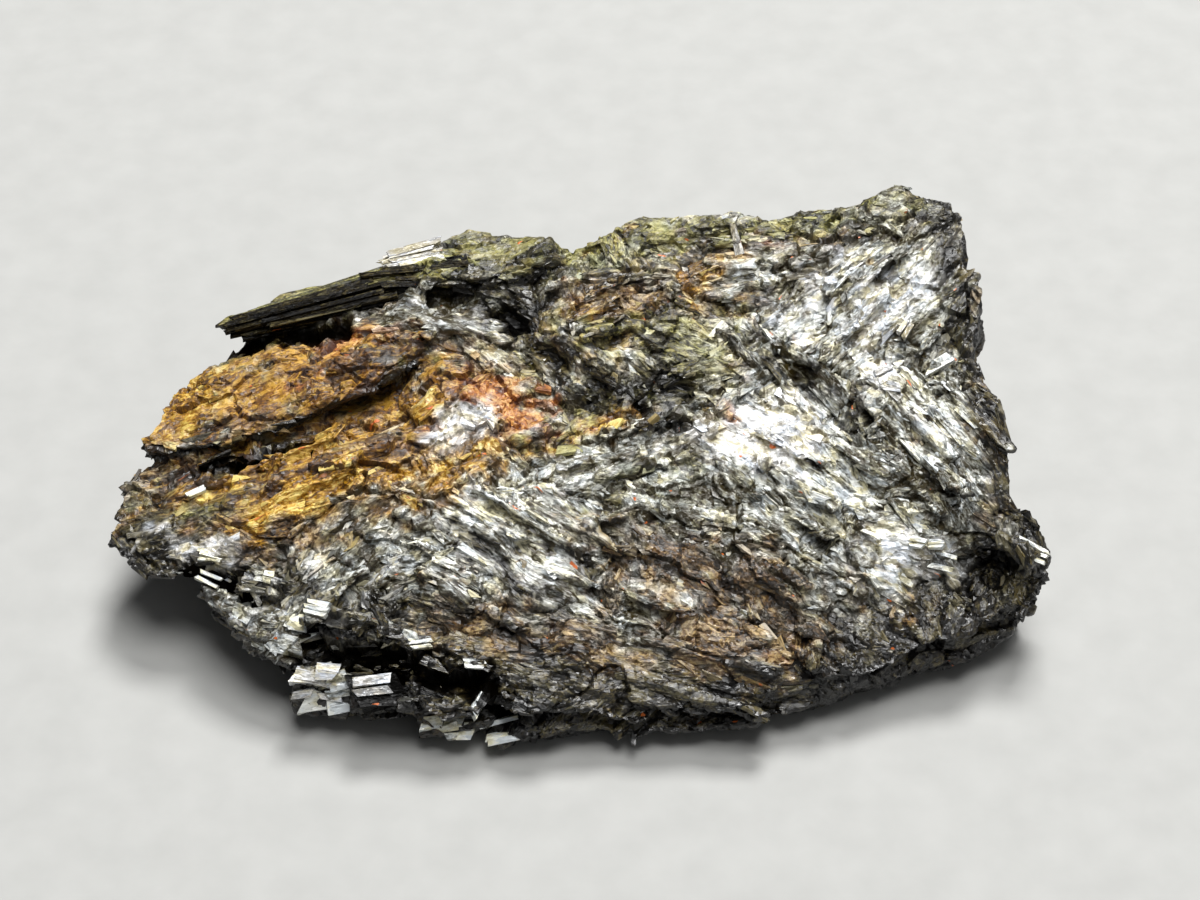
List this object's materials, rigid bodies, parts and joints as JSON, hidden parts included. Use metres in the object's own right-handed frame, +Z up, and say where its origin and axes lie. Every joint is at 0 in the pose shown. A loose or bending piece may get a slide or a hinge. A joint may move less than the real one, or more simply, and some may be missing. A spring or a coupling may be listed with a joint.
{
  "type": "raw nuummite",
  "caption": "Rough broken wedge of nuummite schist with bundled amphibole blades, ledges and a flat cleavage face to rest on.",
  "frame": {"origin": "middle of the stone's box, on the plane of its flat resting face", "axes": "+X along the stone's length towards its thick end, +Y towards its high back edge, +Z up from the resting face"},
  "size_m": [0.0532, 0.0296, 0.0172],
  "materials": {
    "schist": "satin",
    "silver_amphibole": "gloss",
    "dark_amphibole": "gloss",
    "limonite_stain": "satin"
  },
  "bodies": {
    "root": {"nuummite": "schist"}
  },
  "joints": []
}
